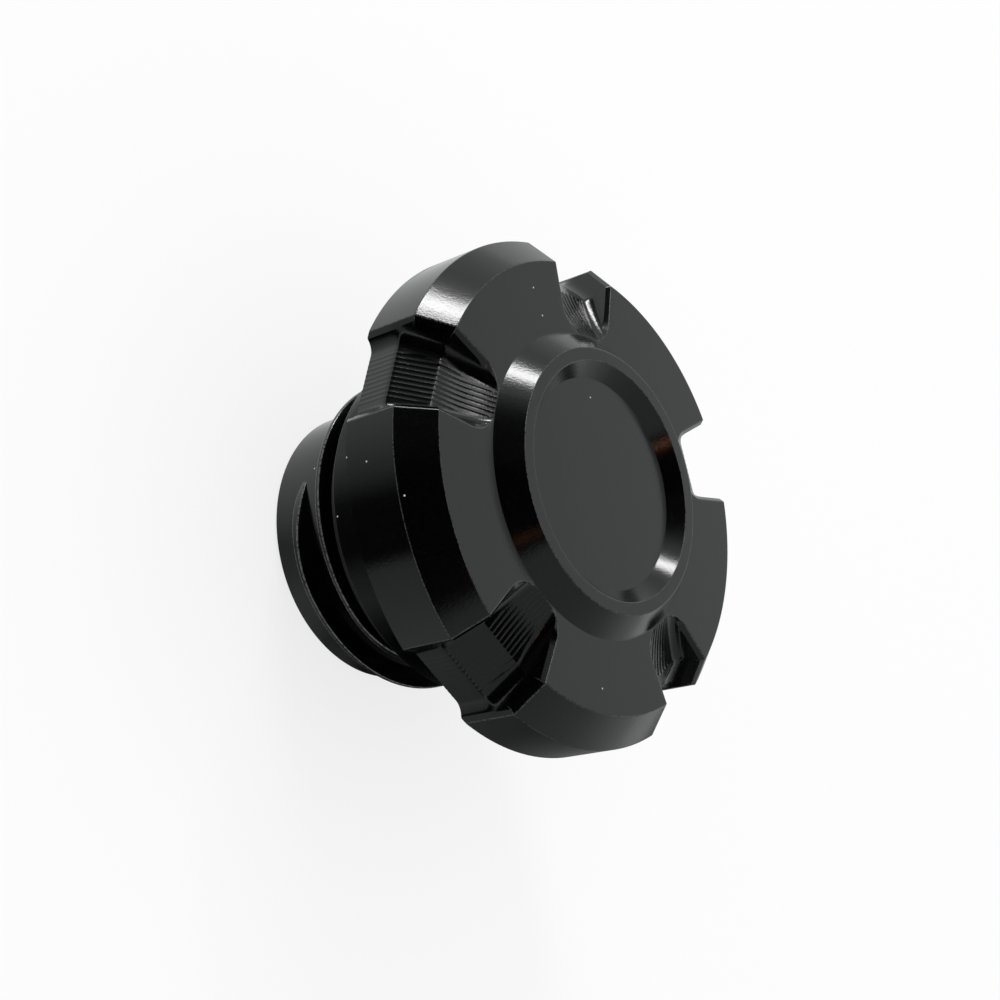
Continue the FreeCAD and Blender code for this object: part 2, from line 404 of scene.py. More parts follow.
def blend(mask, first, second):
    """A colour that goes from the first to the second as the mask goes from 0 to 1."""
    return mask.node("ShaderNodeMix", {"data_type": "RGBA"}, {0: mask, 6: first, 7: second}, 2)


def fade(value, start, end):
    """A mask that goes smoothly from 0 to 1 between two values."""
    return value.node(
        "ShaderNodeMapRange", {"interpolation_type": "SMOOTHSTEP"},
        {"Value": value, "From Min": start, "From Max": end, "To Min": 0.0, "To Max": 1.0})


def part_of(signal, name):
    """Another output of the node that a signal comes from."""
    return Signal(signal.tree, signal.socket.node.outputs[name])


def dust_mask(place, size):
    """Small round specks at the places where dust lies."""
    mask = None
    for speck in DUST:
        centre = tuple(value * MM for value in speck)
        away = place.node("ShaderNodeVectorMath", {"operation": "DISTANCE"}, {0: place, 1: centre}, "Value")
        here = 1 - fade(away, size / 2, size)
        mask = here if mask is None else mask.maths("MAXIMUM", mask, here)
    return mask


def anodised_finish(finish):
    """Black anodised billet: satin grain, faint turning marks, gloss that varies a little, dust, and paler
    rounded edges that are partly worn black and partly a painted highlight.
    """
    material, tree = new_material("black_anodised")
    place = add_node(tree, "ShaderNodeTexCoord", {}, {}, "Object")
    mottle = noise(place, MOTTLE_SCALE, detail=4.0)
    grain = noise(place, 1 / finish.grain, detail=3.0)
    flat = place.node("ShaderNodeVectorMath", {"operation": "MULTIPLY"}, {0: place, 1: (1.0, 1.0, 0.0)})
    radius = flat.node("ShaderNodeVectorMath", {"operation": "LENGTH"}, {0: flat}, "Value")
    rings = radius.node(
        "ShaderNodeTexNoise", {"noise_dimensions": "1D"},
        {"W": radius, "Scale": 1 / finish.turning, "Detail": 2.0}, "Fac")
    facing = add_node(tree, "ShaderNodeNewGeometry", {}, {}, "True Normal")
    upright = facing.node("ShaderNodeSeparateXYZ", {}, {"Vector": facing}, "Z")
    relief = grain + rings * fade(upright, *TURNED_FACES) * TURNING_SHARE
    normal = bumps(relief, GRAIN_STRENGTH, GRAIN_HEIGHT)
    dust = dust_mask(place, finish.dust_size)
    # Paler rounded edges: thinner black from wear, and a painted highlight along the edges
    wear_and_highlight = add_node(tree, "ShaderNodeAttribute", {"attribute_name": "edge_wear_and_highlight"}, {}, "Fac")
    worn_and_highlit = fade(grain, *WORN_AND_HIGHLIT_GRAIN) * wear_and_highlight
    body = blend(fade(grain, *FLECKS), finish.anodised, finish.anodised_fleck)
    tint = blend(dust, blend(worn_and_highlit, body, finish.worn_edge_and_highlight), finish.dust)
    roughness = finish.anodised_roughness + (mottle - 0.5) * MOTTLE_ROUGHNESS + dust * DUST_ROUGHNESS
    shader = place.node(
        "ShaderNodeBsdfPrincipled", {},
        {"Base Color": tint, "IOR": ANODISED_IOR, "Roughness": roughness, "Normal": normal}, "BSDF")
    return finished(material, shader)


def rubber_finish(finish):
    """Matt black rubber with a fine skin and a faint bloom."""
    material, tree = new_material("black_rubber")
    place = add_node(tree, "ShaderNodeTexCoord", {}, {}, "Object")
    bloom = noise(place, BLOOM_SCALE, detail=5.0)
    normal = bumps(noise(place, SKIN_SCALE, detail=2.0), SKIN_STRENGTH, SKIN_HEIGHT)
    tint = blend(fade(bloom, *BLOOM_PATCHES), finish.seal, finish.seal_bloom)
    roughness = finish.seal_roughness + (bloom - 0.5) * BLOOM_ROUGHNESS
    shader = place.node(
        "ShaderNodeBsdfPrincipled", {},
        {"Base Color": tint, "Roughness": roughness, "Specular IOR Level": RUBBER_SHINE, "Normal": normal},
        "BSDF")
    return finished(material, shader)


def floor_finish(finish):
    """A pale floor that reads as a white ground and keeps the cap's shadow."""
    material, tree = new_material("pale_floor")
    camera = add_node(tree, "ShaderNodeLightPath", {}, {}, "Is Camera Ray")
    seen = camera + part_of(camera, "Is Glossy Ray") + part_of(camera, "Is Transmission Ray")
    ground = camera.node(
        "ShaderNodeBsdfPrincipled", {},
        {"Base Color": finish.floor, "Roughness": 1.0, "Specular IOR Level": 0.0}, "BSDF")
    white = camera.node("ShaderNodeEmission", {}, {"Color": (1.0, 1.0, 1.0, 1.0)})
    glow = seen.maths("MINIMUM", seen, 1.0) * finish.floor_glow
    shader = glow.node("ShaderNodeMixShader", {}, {0: glow, 1: ground, 2: white})
    return finished(material, shader)


def glowing_finish(name, tint):
    """A card of one colour that glows evenly."""
    material, tree = new_material(name)
    material.cycles.emission_sampling = "NONE"
    return finished(material, add_node(tree, "ShaderNodeEmission", {}, {"Color": (*tint, 1.0)}))


def painted_finish(name, stops):
    """A glow whose brightness changes round the axis."""
    material, tree = new_material(name)
    material.cycles.emission_sampling = "NONE"
    place = add_node(tree, "ShaderNodeTexCoord", {}, {}, "Object")
    across = place.node("ShaderNodeSeparateXYZ", {}, {"Vector": place}, "X")
    along = part_of(across, "Y")
    turn = along.maths("ARCTAN2", along, across) / math.tau + 0.5
    paint = turn.node("ShaderNodeValToRGB", {}, {"Fac": turn}, "Color")
    ramp = paint.socket.node.color_ramp.elements
    for degrees, _ in stops[1:-1]:
        ramp.new(degrees / 360 + 0.5)
    for stop, (degrees, brightness) in zip(ramp, stops):
        stop.position = degrees / 360 + 0.5
        stop.color = (*(brightness * tint for tint in TENT_TINT), 1.0)
    return finished(material, paint.node("ShaderNodeEmission", {}, {"Color": paint}))


def pair(radius, height):
    """A point of the cap's side view."""
    return Vector((radius, height))


def leaning(lean):
    """A direction in the side view that leans outwards from straight up."""
    return pair(math.sin(lean), math.cos(lean))


def rounded(before, tip, after, reach, parts=CORNER_PARTS):
    """Points of a small arc that softens a corner."""
    if reach < MERGE_DISTANCE:
        return [tip] * (parts + 1)
    first = (before - tip).normalized()
    last = (after - tip).normalized()
    middle = (first + last).normalized()
    centre = tip + middle * (reach / middle.dot(first))
    start = tip + first * reach - centre
    end = tip + last * reach - centre
    sweep = start.angle(end)
    ways = [part / parts for part in range(parts + 1)]
    return [
        centre + (start * math.sin(sweep * (1 - way)) + end * math.sin(sweep * way)) / math.sin(sweep)
        for way in ways]


def clamp(value, low=0.0, high=1.0):
    """A value held between two others."""
    return max(low, min(high, value))


def turning_point(low, high, is_past):
    """Where a test turns true between two values."""
    for _ in range(HALVINGS):
        middle = (low + high) / 2
        if is_past(middle):
            high = middle
        else:
            low = middle
    return low


def spun(radius, turn, height):
    """A point at an angle round the axis."""
    return Vector((radius * math.cos(turn), radius * math.sin(turn), height))


def turned(outline, turns):
    """Rows of points: each place of an outline in the side view, at each angle round the axis."""
    return [[spun(place.x, turn, place.y) for turn in turns] for place in outline]


def straight(start, end, lean, parts):
    """Floor points on the way between two others, with the direction that they face."""
    return [(start.lerp(end, part / parts), leaning(lean)) for part in range(1, parts)]


# One row of a scallop's half: its floor, the floor's direction, the rim above it, that rim's inset, and the
# width of the edge break
Row = namedtuple("Row", "floor normal rim inset break_width")


class HeadShape:
    """The heights and outlines of the cap, and the rows of points of one scallop and half a lobe."""

    def __init__(self, cap):
        self.head = cap.head
        self.scallop = cap.scallop
        self.neck = cap.neck
        self.face = CAP_HIGH.z - cap.head.ring_height
        self.rear = self.face - cap.head.height
        self.shoulder = self.rear - cap.neck.boss_length
        self.half_sector = math.pi / cap.scallop.count
        self.wall_slope = math.tan(cap.scallop.half_angle)
        self.wall_stretch = 1 / math.cos(cap.scallop.half_angle)
        self.set_rim()
        self.set_floor()
        step = cap.scallop.pass_spacing / PASS_PARTS
        widest = self.side_radius * self.wall_slope - cap.scallop.cutter_radius
        self.floor_places = [step * number for number in range(math.ceil(widest / step) + 1)]

    def set_rim(self):
        """The lobes' outline in the side view, and the same moved inwards by the edge break."""
        head = self.head
        inset = self.scallop.edge_break
        mitre = inset * (math.sqrt(2) - 1)
        end = self.rear + head.rear_break
        self.rim = [
            pair(head.ring_radius, self.face),
            pair(head.radius - head.bevel, self.face),
            pair(head.radius, self.face - head.bevel),
            pair(head.radius, end),
        ]
        self.rim_inset = [
            pair(head.ring_radius, self.face - inset),
            pair(head.radius - head.bevel - mitre, self.face - inset),
            pair(head.radius - inset, self.face - head.bevel - mitre),
            pair(head.radius - inset, end),
        ]

    def set_floor(self):
        """The scallop's floor in the side view: an arc from the ring, a bevel and the side."""
        head = self.head
        scallop = self.scallop
        self.side_radius = head.radius - scallop.side_depth
        self.floor_start = pair(head.ring_radius + scallop.ring_gap, self.face)
        self.face_end = pair(self.side_radius - head.bevel, self.face - scallop.face_depth)
        self.side_end = self.face_end + pair(head.bevel, -head.bevel)
        chord = self.face_end - self.floor_start
        reach = math.asin(chord.length / 2 / scallop.floor_radius)
        chord_lean = math.atan2(-chord.y, chord.x)
        self.arc_leans = (chord_lean + reach, chord_lean - reach)
        middle = (self.floor_start + self.face_end) / 2
        self.arc_centre = middle + leaning(chord_lean) * scallop.floor_radius * math.cos(reach)

    def crease(self, tip, first, last):
        """Floor points and directions round one bend of the floor."""
        radius = self.scallop.crease_radius
        half = (last - first) / 2
        centre = tip - leaning(first + half) * radius / math.cos(half)
        leans = [first + (last - first) * part / CREASE_PARTS for part in range(CREASE_PARTS + 1)]
        return [(centre + leaning(lean) * radius, leaning(lean)) for lean in leans]

    def floor_path(self):
        """Points of the floor with the directions that it faces, from the ring to the head's rear."""
        steep, shallow = self.arc_leans
        bevel_lean = math.radians(45)
        side_lean = math.radians(90)
        first = self.crease(self.face_end, shallow, bevel_lean)
        second = self.crease(self.side_end, bevel_lean, side_lean)
        radius = self.scallop.floor_radius
        spare = self.scallop.crease_radius * math.tan((bevel_lean - shallow) / 2) / radius
        path = []
        for part in range(FLOOR_ARC_PARTS):
            lean = steep + (shallow + spare - steep) * part / FLOOR_ARC_PARTS
            path.append((self.arc_centre - leaning(lean) * radius, leaning(lean)))
        path += first + straight(first[-1][0], second[0][0], bevel_lean, BEVEL_PARTS) + second
        end = pair(self.side_radius, self.rear + self.head.rear_break)
        path += straight(second[-1][0], end, side_lean, SIDE_PARTS)
        return path + [(end, leaning(side_lean))]

    def depths(self, point):
        """How deep a point lies under the face, the bevel and the side, seen in the wall's plane."""
        radius = point.x * self.wall_stretch
        bevel_sum = self.rim[1].x + self.rim[1].y
        return (self.face - point.y, (bevel_sum - radius - point.y) / math.sqrt(2), self.head.radius - radius)

    def rim_above(self, floor, normal):
        """Which stretch of the rim lies straight above a floor point, and where on it."""
        across = normal.x * self.wall_stretch
        speeds = (normal.y, (across + normal.y) / math.sqrt(2), across)
        ways = [
            depth / speed if speed > LEAST_SPEED else math.inf
            for depth, speed in zip(self.depths(floor), speeds)]
        way = min(ways)
        stretch = ways.index(way)
        point = pair((floor.x + normal.x * way) * self.wall_stretch, floor.y + normal.y * way)
        return stretch, point

    def row(self, floor, normal):
        """One row, with the rim straight above the floor."""
        stretch, rim = self.rim_above(floor, normal)
        start, end = self.rim[stretch], self.rim[stretch + 1]
        along = (rim - start).length / (end - start).length
        inset = self.rim_inset[stretch].lerp(self.rim_inset[stretch + 1], along)
        return Row(floor, normal, rim, inset, self.scallop.edge_break)

    def floor_between(self, first, second, way):
        """A floor point and its direction on the way between two others."""
        return first[0].lerp(second[0], way), first[1].lerp(second[1], way).normalized()

    def corner_rows(self, first, second, stretch):
        """Rows at a softened corner of the rim, between two rows on either side of it."""
        low = turning_point(
            0.0, 1.0, lambda way: self.rim_above(*self.floor_between(first, second, way))[0] > stretch)
        before, tip, after = self.rim[stretch:stretch + 3]
        tips = rounded(before, tip, after, self.head.corner_round)
        tips_inset = rounded(*self.rim_inset[stretch:stretch + 3], self.head.corner_round)
        nudge = min(low, 1 - low) * CORNER_SPREAD
        rows = []
        for number, (rim, inset) in enumerate(zip(tips, tips_inset)):
            shift = nudge * (2 * number / CORNER_PARTS - 1)
            floor, normal = self.floor_between(first, second, low + shift)
            rows.append(Row(floor, normal, rim, inset, self.scallop.edge_break))
        return rows

    def rows(self):
        """All rows of the scallop, from the ring's foot to the head's rear face."""
        path = self.floor_path()
        rows = [self.row(*path[0])]
        for before, after in zip(path, path[1:]):
            stretch = self.rim_above(*before)[0]
            if self.rim_above(*after)[0] > stretch:
                rows += self.corner_rows(before, after, stretch)
            rows.append(self.row(*after))
        last = rows[-1]
        head = self.head
        rear_floor = pair(last.floor.x, self.rear)
        rear_rim = pair(head.radius - head.rear_break, self.rear)
        rear_width = self.scallop.edge_break - head.rear_break
        rows.append(Row(rear_floor, last.normal, rear_rim, last.inset, rear_width))
        return rows

    def foot_point(self, row, lean):
        """A point of the round foot between floor and wall, and how far it stands in from the wall."""
        radius = self.scallop.cutter_radius
        point = row.floor + row.normal * radius * (1 - math.cos(lean))
        return point, radius * (1 - math.sin(lean))

    def foot_place(self, row, lean):
        """The same point of the round foot in space."""
        point, stand = self.foot_point(row, lean)
        return Vector((point.x, point.x * self.wall_slope - stand, point.y))

    def foot_ends(self, row):
        """How far up the round foot goes: to the wall or the face, and to the full edge break."""
        radius = self.scallop.cutter_radius
        depth = self.depths(row.floor)[0] / row.normal.y if row.normal.y > FACING_UP else math.inf
        outline = math.acos(clamp(1 - depth / radius, -1, 1)) if depth < radius else math.radians(90)

        def spare(lean):
            point, stand = self.foot_point(row, lean)
            return min(self.depths(point)) - stand - self.scallop.edge_break

        low = BREAK_FOOT * outline
        if spare(low) > 0:
            low = turning_point(low, outline, lambda lean: spare(lean) <= 0)
        return outline, low

    def ridge_share(self, floor):
        """How high the passes' ridges stand: full in the hollow, lower on the bevel and the side."""
        scallop = self.scallop
        bend = scallop.crease_radius
        onto_bevel = clamp((floor.x - self.face_end.x + bend) / (2 * bend))
        onto_side = clamp((self.side_end.y + bend - floor.y) / (2 * bend))
        height = 1 + (scallop.bevel_ridges - 1) * onto_bevel
        return height + (scallop.side_ridges - height) * onto_side

    def cusp(self, place, edge):
        """Height of the ridges that the cutter's passes leave on the floor."""
        spacing = self.scallop.pass_spacing
        radius = self.scallop.cutter_radius
        middle = spacing * round(place / spacing)
        nearest = min(abs(place - middle), edge - place)
        return radius - math.sqrt(radius ** 2 - nearest ** 2)

    def section(self, row):
        """Points across half a scallop and half a lobe, from the scallop's middle to the lobe's."""
        scallop = self.scallop
        edge = row.floor.x * self.wall_slope - scallop.cutter_radius
        height = self.ridge_share(row.floor)
        points = []
        for place in self.floor_places:
            side = min(place, edge)
            point = row.floor + row.normal * self.cusp(side, edge) * height
            points.append(Vector((point.x, side, point.y)))
        start = self.head.ring_radius + scallop.edge_break_gap
        opening = clamp((row.rim.x - start) / scallop.edge_break_taper)
        outline, full = self.foot_ends(row)
        end = outline + (full - outline) * opening
        points += [self.foot_place(row, end * part / FOOT_PARTS) for part in range(1, FOOT_PARTS + 1)]
        along = Vector((math.cos(scallop.half_angle), math.sin(scallop.half_angle), 0))
        across = Vector((-along.y, along.x, 0))
        inner = points[-1]
        if end > UPRIGHT_LEAN and opening > 0:
            inner = along * row.inset.x + Vector((0, 0, row.inset.y))
        reach = math.sqrt(row.rim.x ** 2 - row.break_width ** 2)
        broken = along * reach + across * row.break_width + Vector((0, 0, row.rim.y))
        outer = self.foot_place(row, outline).lerp(broken, opening)
        lobe = self.lobe_points(row, outer)
        before = inner if opening > 0 else points[-2]
        soft = min(scallop.edge_round, SOFT_SHARE * (outer - before).length)
        return points + [inner] + rounded(before, outer, lobe[0], soft) + lobe

    def lobe_points(self, row, outer):
        """Points round half a lobe, from the scallop's edge to the lobe's middle."""
        points = []
        turn = math.atan2(outer.y, outer.x)
        radius = math.hypot(outer.x, outer.y)
        for part in range(1, LOBE_PARTS + 1):
            way = part / LOBE_PARTS
            points.append(
                spun(radius + (row.rim.x - radius) * way, turn + (self.half_sector - turn) * way, outer.z))
        return points

    def face_outline(self):
        """The turned outline from the middle of the disc to the ring's foot."""
        head = self.head
        top = CAP_HIGH.z
        inner = head.ring_radius - head.ring_height - head.ring_top
        disc = pair(inner - head.ring_inner_bevel, top - head.ring_inner_bevel)
        inside = pair(inner, top)
        outside = pair(inner + head.ring_top, top)
        foot = pair(head.ring_radius, self.face)
        outline = [pair(0, disc.y), disc]
        outline += rounded(disc, inside, outside, head.corner_round)
        outline += rounded(inside, outside, foot, head.corner_round)
        return outline + [foot]

    def boss_outline(self):
        """The turned outline of the boss, from the head's rear to the neck's top."""
        neck = self.neck
        top = pair(neck.boss_radius, self.rear)
        edge = pair(neck.boss_radius, self.shoulder)
        inside = pair(neck.radius, self.shoulder)
        return [top] + rounded(top, edge, inside, self.head.corner_round, SHOULDER_PARTS) + [inside]

    def bore_outline(self):
        """The turned outline from the neck's broken edge, over its end, to the middle of the bore."""
        neck = self.neck
        return [
            pair(neck.radius, neck.end_break),
            pair(neck.radius - neck.end_break, 0),
            pair(neck.bore_radius, 0),
            pair(neck.bore_radius, neck.bore_depth - neck.bore_corner),
            pair(neck.bore_radius - neck.bore_corner, neck.bore_depth),
            pair(0, neck.bore_depth),
        ]


class Skin:
    """Collects points and faces, joins points that coincide and leaves out faces without an area."""

    def __init__(self):
        self.points = []
        self.faces = []
        self.known = {}

    def point(self, place):
        """The number of a point, which is new unless it coincides with a known one."""
        key = tuple(round(value / POINT_DISTANCE) for value in place)
        if key not in self.known:
            self.known[key] = len(self.points)
            self.points.append(place)
        return self.known[key]

    def rows(self, rows):
        """Covers a grid of points, whose rows run outwards and whose columns run round the axis."""
        grid = [[self.point(place) for place in row] for row in rows]
        for upper, lower in zip(grid, grid[1:]):
            for column in range(len(upper) - 1):
                corners = [upper[column], lower[column], lower[column + 1], upper[column + 1]]
                face = [corner for number, corner in enumerate(corners) if corner != corners[number - 1]]
                if len(face) > 2:
                    self.faces.append(face)

    def mesh(self, name):
        """The collected points and faces as a mesh."""
        made = bpy.data.meshes.new(name)
        made.from_pydata(self.points, [], self.faces)
        made.update()
        return made


def sector_mesh(shape):
    """One scallop with half a lobe on either side, from the disc to the boss, and the neck's hollow end."""
    sections = [shape.section(row) for row in shape.rows()]
    turns = [math.atan2(point.y, point.x) for point in sections[0]]
    even = [shape.half_sector * number / (len(turns) - 1) for number in range(len(turns))]
    rows = turned(shape.face_outline(), turns) + sections
    outline = [(math.hypot(point.x, point.y), math.atan2(point.y, point.x)) for point in sections[-1]]
    boss = shape.neck.boss_radius
    for part in range(1, REAR_PARTS):
        way = part / REAR_PARTS
        rows.append([
            spun(radius + (boss - radius) * way, turn + (target - turn) * way, shape.rear)
            for (radius, turn), target in zip(outline, even)])
    rows += turned(shape.boss_outline(), even)
    hollow = turned(shape.bore_outline(), even)
    skin = Skin()
    for half in (rows, hollow):
        skin.rows([[Vector((p.x, -p.y, p.z)) for p in row[:0:-1]] + row for row in half])
    return skin.mesh("cap_sector"), len(even) - 1


class NeckShape:
    """The neck's outside with the thread's ridge, as columns of points that climb with the thread."""

    def __init__(self, cap, shape, columns):
        self.thread = cap.thread
        self.columns = columns
        self.low = cap.neck.end_break
        self.high = shape.shoulder
        self.root = cap.neck.radius
        self.end = math.tau * cap.thread.turns
        self.flank = math.tan(cap.thread.flank_angle)

    def crest(self, turn):
        """Radius of the ridge at an angle from its start, run out at both ends."""
        thread = self.thread
        lean = max(thread.run_out_angle - turn, turn - self.end + thread.run_out_angle, 0.0)
        lean = min(lean, math.radians(90))
        offset = thread.run_out_offset
        across = offset * math.sin(lean)
        limit = offset * math.cos(lean) + math.sqrt((thread.radius - offset) ** 2 - across ** 2)
        return max(self.root, min(thread.radius, limit))

    def ridge(self, turn):
        """The ridge's outline from its upper foot to its lower foot, as radii and heights."""
        thread = self.thread
        crest = self.crest(turn)
        tip = math.sqrt(clamp(min(turn, self.end - turn) / thread.tip_angle))
        half = tip * (thread.crest_width / 2 + (thread.radius - crest) * self.flank)
        foot = tip * (thread.crest_width / 2 + (thread.radius - self.root) * self.flank)
        soft = min(thread.crest_round, (crest - self.root) / 2, half / 2)
        upper = [pair(self.root, foot)]
        upper += rounded(pair(self.root, foot), pair(crest, half), pair(crest, 0), soft, CREST_PARTS)
        return upper + [pair(place.x, -place.y) for place in reversed(upper)]

    def crossing(self, turn):
        """Where the ridge's outline lies at an angle. Past its ends it slides flat along the neck."""
        inside = clamp(turn, 0.0, self.end)
        height = self.thread.start_height + self.thread.pitch * inside / math.tau
        outline = [pair(place.x, place.y + height) for place in self.ridge(turn)]
        lead = self.thread.lead_angle
        if turn < 0:
            return [pair(self.root, place.y + (self.low - place.y) * -turn / lead) for place in outline]
        if turn > self.end:
            way = (turn - self.end) / (2 * math.tau - lead - self.end)
            return [pair(self.root, place.y + (self.high - place.y) * way) for place in outline]
        return outline

    def mesh(self, start):
        """The neck's skin, from the shoulder down to its end."""
        step = math.tau / self.columns
        seam = math.floor((self.thread.start_angle - self.thread.lead_angle - start) / step)
        columns = []
        for number in range(self.columns + 1):
            turn = number * step - self.thread.lead_angle
            column = [pair(self.root, self.high)]
            column += self.crossing(turn + math.tau) + self.crossing(turn)
            column.append(pair(self.root, self.low))
            place = start + (seam + number % self.columns) * step
            columns.append([spun(point.x, place, point.y) for point in column])
        skin = Skin()
        skin.rows([list(row) for row in zip(*columns)])
        return skin.mesh("cap_neck")


def new_group(name, inputs):
    """A geometry node tree with a geometry output and the named inputs, and those inputs as signals."""
    tree = bpy.data.node_groups.new(name, "GeometryNodeTree")
    tree.interface.new_socket("Geometry", in_out="OUTPUT", socket_type="NodeSocketGeometry")
    for label, kind in inputs.items():
        tree.interface.new_socket(label, in_out="INPUT", socket_type=kind)
    source = tree.nodes.new("NodeGroupInput")
    return tree, {label: Signal(tree, source.outputs[label]) for label in inputs}


def close_group(tree, geometry, material):
    """Gives a node tree's geometry its material and hands it out."""
    dressed = add_node(tree, "GeometryNodeSetMaterial", {}, {"Geometry": geometry, "Material": material})
    add_node(tree, "NodeGroupOutput", {}, {"Geometry": dressed})
    return tree


def sector_repeat():
    """Node tree that repeats one sector round the axis and joins the copies."""
    tree, given = new_group("sector_repeat", {
        "Sector": "NodeSocketGeometry", "Count": "NodeSocketInt", "Start Angle": "NodeSocketFloat",
        "Merge Distance": "NodeSocketFloat", "Material": "NodeSocketMaterial"})
    points = add_node(tree, "GeometryNodePoints", {}, {"Count": given["Count"]})
    index = add_node(tree, "GeometryNodeInputIndex", {}, {})
    turn = given["Start Angle"] + index * math.tau / given["Count"]
    rotation = add_node(tree, "FunctionNodeAxisAngleToRotation", {}, {"Axis": (0, 0, 1), "Angle": turn})
    copies = add_node(tree, "GeometryNodeInstanceOnPoints", {}, {
        "Points": points, "Instance": given["Sector"], "Rotation": rotation})
    joined = add_node(tree, "GeometryNodeRealizeInstances", {}, {"Geometry": copies})
    merged = add_node(tree, "GeometryNodeMergeByDistance", {}, {
        "Geometry": joined, "Distance": given["Merge Distance"]})
    return close_group(tree, merged, given["Material"])


def cord_ring():
    """Node tree that sweeps a round cord along a circle."""
    tree, given = new_group("cord_ring", {
        "Ring Radius": "NodeSocketFloat", "Cord Radius": "NodeSocketFloat", "Height": "NodeSocketFloat",
        "Material": "NodeSocketMaterial"})
    ring = add_node(tree, "GeometryNodeCurvePrimitiveCircle", {}, {
        "Resolution": SEAL_PARTS, "Radius": given["Ring Radius"]})
    cord = add_node(tree, "GeometryNodeCurvePrimitiveCircle", {}, {
        "Resolution": CORD_PARTS, "Radius": given["Cord Radius"]})
    swept = add_node(tree, "GeometryNodeCurveToMesh", {}, {"Curve": ring, "Profile Curve": cord})
    place = add_node(tree, "ShaderNodeCombineXYZ", {}, {"Z": given["Height"]})
    moved = add_node(tree, "GeometryNodeTransform", {}, {"Geometry": swept, "Translation": place})
    joined = add_node(tree, "GeometryNodeRealizeInstances", {}, {"Geometry": moved})
    return close_group(tree, joined, given["Material"])


def new_piece(name, data):
    """An object of the scene, made from a mesh, a lamp or a camera."""
    piece = bpy.data.objects.new(name, data)
    bpy.context.scene.collection.objects.link(piece)
    return piece


def settle(piece):
    """Turns a piece with modifiers into a plain mesh without them."""
    depsgraph = bpy.context.evaluated_depsgraph_get()
    made = bpy.data.meshes.new_from_object(
        piece.evaluated_get(depsgraph), preserve_all_data_layers=True, depsgraph=depsgraph)
    piece.modifiers.clear()
    piece.data = made
    made.name = piece.name


def run_nodes(piece, tree, values):
    """Gives a piece a node tree with the values of its inputs, and settles it."""
    modifier = piece.modifiers.new(tree.name, "NODES")
    modifier.node_group = tree
    for item in tree.interface.items_tree:
        if item.item_type == "SOCKET" and item.in_out == "INPUT" and item.name in values:
            modifier[item.identifier] = values[item.name]
    settle(piece)


def mark_edges(work, shape):
    """Marks the narrow rounded edges, where the black is thinner and a highlight is painted on. The thread's
    flat tips stay black.
    """
    wear_and_highlight = work.verts.layers.float.new("edge_wear_and_highlight")
    work.normal_update()
    for edge in work.edges:
        span = edge.calc_length()
        narrow = all(face.calc_area() < EDGE_FACE_WIDTH * span for face in edge.link_faces)
        if not narrow or edge.calc_face_angle_signed(0.0) < EDGE_BEND:
            continue
        for vertex in edge.verts:
            if vertex.co.z > shape.shoulder:
                vertex[wear_and_highlight] = HEAD_WEAR_AND_HIGHLIGHT
            elif vertex.co.xy.length > shape.neck.radius + EDGE_RISE:
                vertex[wear_and_highlight] = 1.0


def join_skins(piece, other, shape):
    """Adds a second mesh to a piece, joins their shared edges and checks that the skin is closed."""
    work = bmesh.new()
    work.from_mesh(piece.data)
    work.from_mesh(other)
    bmesh.ops.remove_doubles(work, verts=work.verts, dist=MERGE_DISTANCE)
    open_edges = sum(1 for edge in work.edges if len(edge.link_faces) != 2)
    if open_edges:
        raise RuntimeError("%s has %d edges that are not closed" % (piece.name, open_edges))
    mark_edges(work, shape)
    work.to_mesh(piece.data)
    work.free()


def shade(piece):
    """Smooth faces with crisp machined edges, and normals that favour the large faces."""
    piece.data.shade_smooth()
    piece.data.set_sharp_from_angle(angle=CRISP_ANGLE)
    weighting = piece.modifiers.new("Weighted normals", "WEIGHTED_NORMAL")
    weighting.keep_sharp = True
    settle(piece)


class FUELCAP_OT_cap_body(bpy.types.Operator):
    """Builds the milled and turned body of the cap, with its thread"""
    bl_idname = "fuelcap.cap_body"
    bl_label = "Cap body"

    def execute(self, context):
        cap = context.scene.fuel_cap
        shape = HeadShape(cap)
        sector, half_columns = sector_mesh(shape)
        black = anodised_finish(cap.finish)
        sector.materials.append(black)
        body = new_piece("cap_body_looks", sector)
        run_nodes(body, sector_repeat(), {
            "Count": cap.scallop.count, "Start Angle": cap.scallop.start_angle,
            "Merge Distance": MERGE_DISTANCE, "Material": black})
        neck = NeckShape(cap, shape, 2 * half_columns * cap.scallop.count)
        join_skins(body, neck.mesh(cap.scallop.start_angle), shape)
        shade(body)
        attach(body, "root")
        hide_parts("cap_body")
        return {"FINISHED"}


class FUELCAP_OT_seal_ring(bpy.types.Operator):
    """Builds the rubber sealing ring on the neck"""
    bl_idname = "fuelcap.seal_ring"
    bl_label = "Seal ring"

    def execute(self, context):
        cap = context.scene.fuel_cap
        ring = new_piece("seal_ring_looks", bpy.data.meshes.new("seal_ring"))
        cord_radius = cap.seal.cord / 2
        run_nodes(ring, cord_ring(), {
            "Ring Radius": cap.neck.radius + cord_radius, "Cord Radius": cord_radius,
            "Height": cap.seal.height, "Material": rubber_finish(cap.finish)})
        ring.data.shade_smooth()
        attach(ring, "root")
        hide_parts("seal_ring")
        return {"FINISHED"}


def direction(azimuth, elevation):
    """A direction round the cap, as a unit vector."""
    return spun(math.cos(elevation), azimuth, math.sin(elevation))


def place_camera(studio):
    """The camera at the photograph's viewing angle."""
    back = direction(studio.azimuth, studio.elevation)
    level = Vector((0, 0, 1)).cross(back).normalized()
    upright = back.cross(level)
    right = level * math.cos(studio.roll) + upright * math.sin(studio.roll)
    up = back.cross(right)
    data = bpy.data.cameras.new("camera")
    data.lens = studio.lens
    data.sensor_width = SENSOR
    data.clip_start = NEAR_CLIP
    camera = new_piece("camera", data)
    turn = Matrix((right, up, back)).transposed().to_4x4()
    camera.matrix_world = Matrix.Translation(Vector(studio.aim) + back * studio.distance) @ turn
    bpy.context.scene.camera = camera


